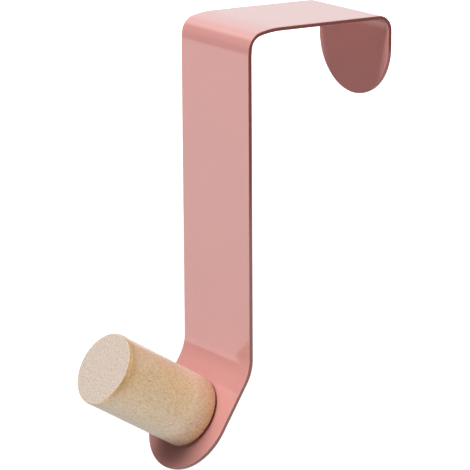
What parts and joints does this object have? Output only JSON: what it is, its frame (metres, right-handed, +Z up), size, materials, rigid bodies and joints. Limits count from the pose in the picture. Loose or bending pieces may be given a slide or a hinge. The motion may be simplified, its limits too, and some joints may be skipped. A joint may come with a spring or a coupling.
{
  "type": "over-door hook",
  "caption": "Over-door hook: one bent, painted steel strip that hangs on a door's top edge, with a turned wooden peg screwed on from behind.",
  "frame": {"origin": "on the seat, the underside of the top plate, midway across the strip and midway between the front's back face and the lip's inner face", "axes": "+Z up along the front of the hook, +X across the strip, +Y over the door from the peg side to the lip side"},
  "size_m": [0.03, 0.0895, 0.1196],
  "materials": {
    "painted_steel": "gloss powder coat",
    "peg_wood": "fine-sanded, unvarnished",
    "screw_steel": "zinc plated"
  },
  "bodies": {
    "root": {"hook_strip": "painted_steel", "wooden_peg": "peg_wood", "peg_screw": "screw_steel"}
  },
  "joints": []
}
